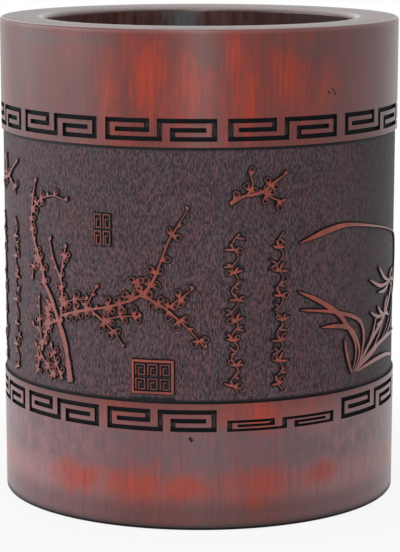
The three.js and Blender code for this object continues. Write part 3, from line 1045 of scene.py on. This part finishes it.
def carved_ground():
    finish = Finish("carved_ground")
    place = finish.place
    dashes = place.noise((3.9, 3.9, 0.8), 1)
    grain = place.noise((8.0, 8.0, 3.0), 1)
    weave = place.noise((1.4, 1.4, 4.5), 1)
    right = place.along("X").rise(34, 50)
    top = place.along("Z").rise(60, 100)
    blotches = place.noise((0.4, 0.4, 0.2), 3).ramp(0.35, 0.65)
    zones = place.noise((0.12, 0.12, 0.09), 2).ramp(0.4, 0.62)
    warmth = place.noise((0.9, 0.9, 0.12), 2).ramp(0.45, 0.6)
    halo = finish.start.node("ShaderNodeAttribute", {"attribute_name": "halo"}, output="Fac")
    pale = warmth.between(srgb(95, 79, 86), srgb(107, 76, 81))
    pale = (zones * 0.3).between(pale, srgb(108, 66, 66))
    deep = blotches.between(srgb(36, 30, 37), srgb(52, 40, 47))
    engraved = (dashes + 0.35 * grain + 0.25 * weave).ramp(0.68, 0.94).between(deep, pale)
    # Darker towards the right and towards the top of the panel: painted shade
    engraved = (0.55 * right + 0.15 * top).between(engraved, srgb(20, 15, 17))
    # Darker in the hollow round the foot of each raised form
    dark_round_forms = halo.ramp(0.4, 0.7)
    finish.feeds("Base Color", dark_round_forms.between(engraved, srgb(15, 13, 17)))
    finish.feeds("Roughness", 0.62 - 0.12 * dashes)
    finish.bumps(dashes + 0.3 * grain + 0.3 * weave, 0.12)
    finish.fixed(Specular_IOR_Level=0.22)
    return finish.material


def black_groove(name, deep, pale, share):
    finish = Finish(name)
    lines = finish.place.noise((4.0, 4.0, 0.5), 2)
    finish.feeds("Base Color", (lines.ramp(0.4, 0.7) * share).between(deep, pale))
    finish.feeds("Roughness", 0.66 + 0.15 * lines)
    finish.bumps(lines, 0.1)
    finish.fixed(Specular_IOR_Level=0.15)
    return finish.material


def bamboo_end_grain():
    finish = Finish("bamboo_end_grain")
    place = finish.place
    cells = {"Vector": place, "Scale": 1.1 / MM, "Randomness": 0.8}
    bundles = place.node("ShaderNodeTexVoronoi", {"feature": "F1"}, cells)
    dots = 1 - bundles.ramp(0.12, 0.34)
    tone = place.noise((0.16, 0.16, 0.16), 3)
    radius = place.vector("MULTIPLY", (1, 1, 0)).length()
    # A painted highlight, near white, on the bore's edge and the rim's outer edge, strongest at the front
    painted_rim_highlight = (1 - radius.rise(43.8, 45)).larger(0.4 * radius.rise(53.8, 54.5))
    near = 1 - place.along("Y").rise(-30, 20)
    painted_rim_highlight = painted_rim_highlight * place.along("Z").rise(130.5, 131.6) * (0.4 + 0.6 * near)
    base = tone.between(srgb(62, 32, 29), srgb(96, 48, 40))
    base = painted_rim_highlight.between(base, srgb(248, 240, 238))
    finish.feeds("Base Color", (dots * 0.6 * (1 - painted_rim_highlight)).between(base, srgb(40, 22, 21)))
    finish.feeds("Roughness", 0.26 + 0.1 * tone)
    finish.bumps(1 - dots, 0.012)
    finish.fixed(IOR=1.56)
    return finish.material


def dark_inside():
    finish = Finish("dark_inside")
    place = finish.place
    lines = place.noise((0.5, 0.5, 0.03), 4)
    spots = place.noise((0.11, 0.11, 0.08), 2)
    across = place.along("X")
    # A painted reflection: a pale grey stripe down the inside, near the middle of the back
    painted_reflection = (1 - abs(across + 5 * MM).rise(1, 8)) * lines.ramp(0.35, 0.6)
    colour = lines.ramp(0.3, 0.7).between(srgb(60, 34, 31), srgb(98, 60, 54))
    colour = (spots.ramp(0.58, 0.72) * 0.7).between(colour, srgb(96, 88, 88))
    colour = (0.7 * painted_reflection).between(colour, srgb(96, 106, 110))
    # Darker towards +X: painted shade on that side of the bore
    finish.feeds("Base Color", (0.8 * across.rise(0, 34)).between(colour, srgb(40, 14, 12)))
    finish.feeds("Roughness", 0.46 + 0.12 * lines)
    finish.bumps(lines, 0.06)
    finish.fixed(Specular_IOR_Level=0.2)
    return finish.material


def floor_board():
    finish = Finish("floor_board")
    place = finish.place
    rings = place.noise((0.03, 0.5, 0.5), 5)
    pores = place.noise((0.35, 4.0, 4.0), 2)
    board = rings.between(srgb(60, 32, 27), srgb(108, 60, 48))
    finish.feeds("Base Color", (pores.ramp(0.55, 0.75) * 0.6).between(board, srgb(38, 20, 18)))
    finish.feeds("Roughness", 0.5 + 0.15 * rings)
    finish.bumps(rings + pores, 0.05)
    return finish.material


def dress_floor_disc():
    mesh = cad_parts["base_disc"].data
    mesh.materials.clear()
    mesh.materials.append(floor_board())


# The studio
def seen_in_picture(start):
    rays = ("Is Camera Ray", "Is Glossy Ray", "Is Transmission Ray")
    camera, gloss, through_glass = (start.node("ShaderNodeLightPath", output=ray) for ray in rays)
    return camera.larger(gloss).larger(through_glass)


def studio_floor():
    corners = [(x * FLOOR_REACH, y * FLOOR_REACH, 0) for x, y in ((-1, -1), (1, -1), (1, 1), (-1, 1))]
    floor = make_object("studio_floor", corners, [(0, 1, 2, 3)])
    finish = Finish("pale_floor")
    finish.fixed(Base_Color=(0.9, 0.9, 0.9, 1), Roughness=0.9)
    distance = finish.place.length()
    bright = GLOW_AT_FOOT * distance.rise(51.8, 54.7) + (1 - GLOW_AT_FOOT) * distance.rise(56, 160)
    glow = finish.start.node("ShaderNodeEmission", None, {"Color": (1, 1, 1, 1), "Strength": 1.0})
    lit = Shade(finish.tree, finish.shader.outputs[0])
    share = bright * seen_in_picture(finish.start)
    surface = finish.start.node("ShaderNodeMixShader", None, {0: share, 1: lit, 2: glow})
    finish.tree.links.new(surface.socket, finish.tree.nodes["Material Output"].inputs["Surface"])
    floor.data.materials.append(finish.material)


def softbox(name, place, size, power):
    light = bpy.data.lights.new(name, "AREA")
    light.shape = "RECTANGLE"
    light.size, light.size_y = size
    light.energy = power
    lamp = bpy.data.objects.new(name, light)
    bpy.context.scene.collection.objects.link(lamp)
    lamp.location = place
    lamp.rotation_euler = (Vector(LAMP_TARGET) - lamp.location).to_track_quat("-Z", "Y").to_euler()


def studio_world():
    world = bpy.data.worlds.new("studio")
    bpy.context.scene.world = world
    world.use_nodes = True
    tree = world.node_tree
    start = Shade(tree)
    heading = start.node("ShaderNodeTexCoord", output="Generated")
    back = heading.along("Y").ramp(-0.45, 0.0)
    ceiling = heading.along("Z").ramp(0.35, 0.8)
    backdrop = back.larger(ceiling) * seen_in_picture(start)
    white = start.node("ShaderNodeLightPath", output="Is Camera Ray").larger(backdrop)
    level = ROOM_LEVEL + (1 - ROOM_LEVEL) * white
    tree.links.new(level.socket, tree.nodes["Background"].inputs["Strength"])
    tree.nodes["Background"].inputs["Color"].default_value = (1, 1, 1, 1)


def photograph_camera():
    lens = bpy.data.cameras.new("photograph_view")
    lens.sensor_fit = "VERTICAL"
    lens.sensor_height = SENSOR
    lens.lens = SENSOR * FOCAL_PIXELS / IMAGE_HEIGHT
    camera = bpy.data.objects.new("photograph_view", lens)
    bpy.context.scene.collection.objects.link(camera)
    camera.location = CAMERA_PLACE
    heading = Matrix.Rotation(math.radians(CAMERA_HEADING), 4, "Z")
    pitch = Matrix.Rotation(math.radians(90 - CAMERA_PITCH), 4, "X")
    roll = Matrix.Rotation(math.radians(CAMERA_ROLL), 4, "Z")
    camera.rotation_euler = (heading @ pitch @ roll).to_euler()
    bpy.context.scene.camera = camera


carved_wall({
    "skin": bamboo_skin(),
    "relief": carved_relief(),
    "fine": fine_relief(),
    "ground": carved_ground(),
    # The bars are a darker black than the posts: painted shade under the upper edge of each groove
    "bar": black_groove("groove_bar", srgb(14, 16, 20), srgb(30, 32, 38), 0.6),
    "post": black_groove("groove_post", srgb(30, 26, 31), srgb(84, 68, 70), 0.9),
    "end_grain": bamboo_end_grain(),
    "inside": dark_inside(),
    # The foot's rounded edge is near black: painted contact shade where it meets the floor
    "foot_edge": black_groove("foot_edge", srgb(16, 12, 13), srgb(30, 22, 22), 0.5),
})
dress_floor_disc()
studio_floor()
studio_world()
for name, place, size, power in SOFTBOXES:
    softbox(name, place, size, power)
photograph_camera()
bpy.context.scene.view_settings.view_transform = "Standard"
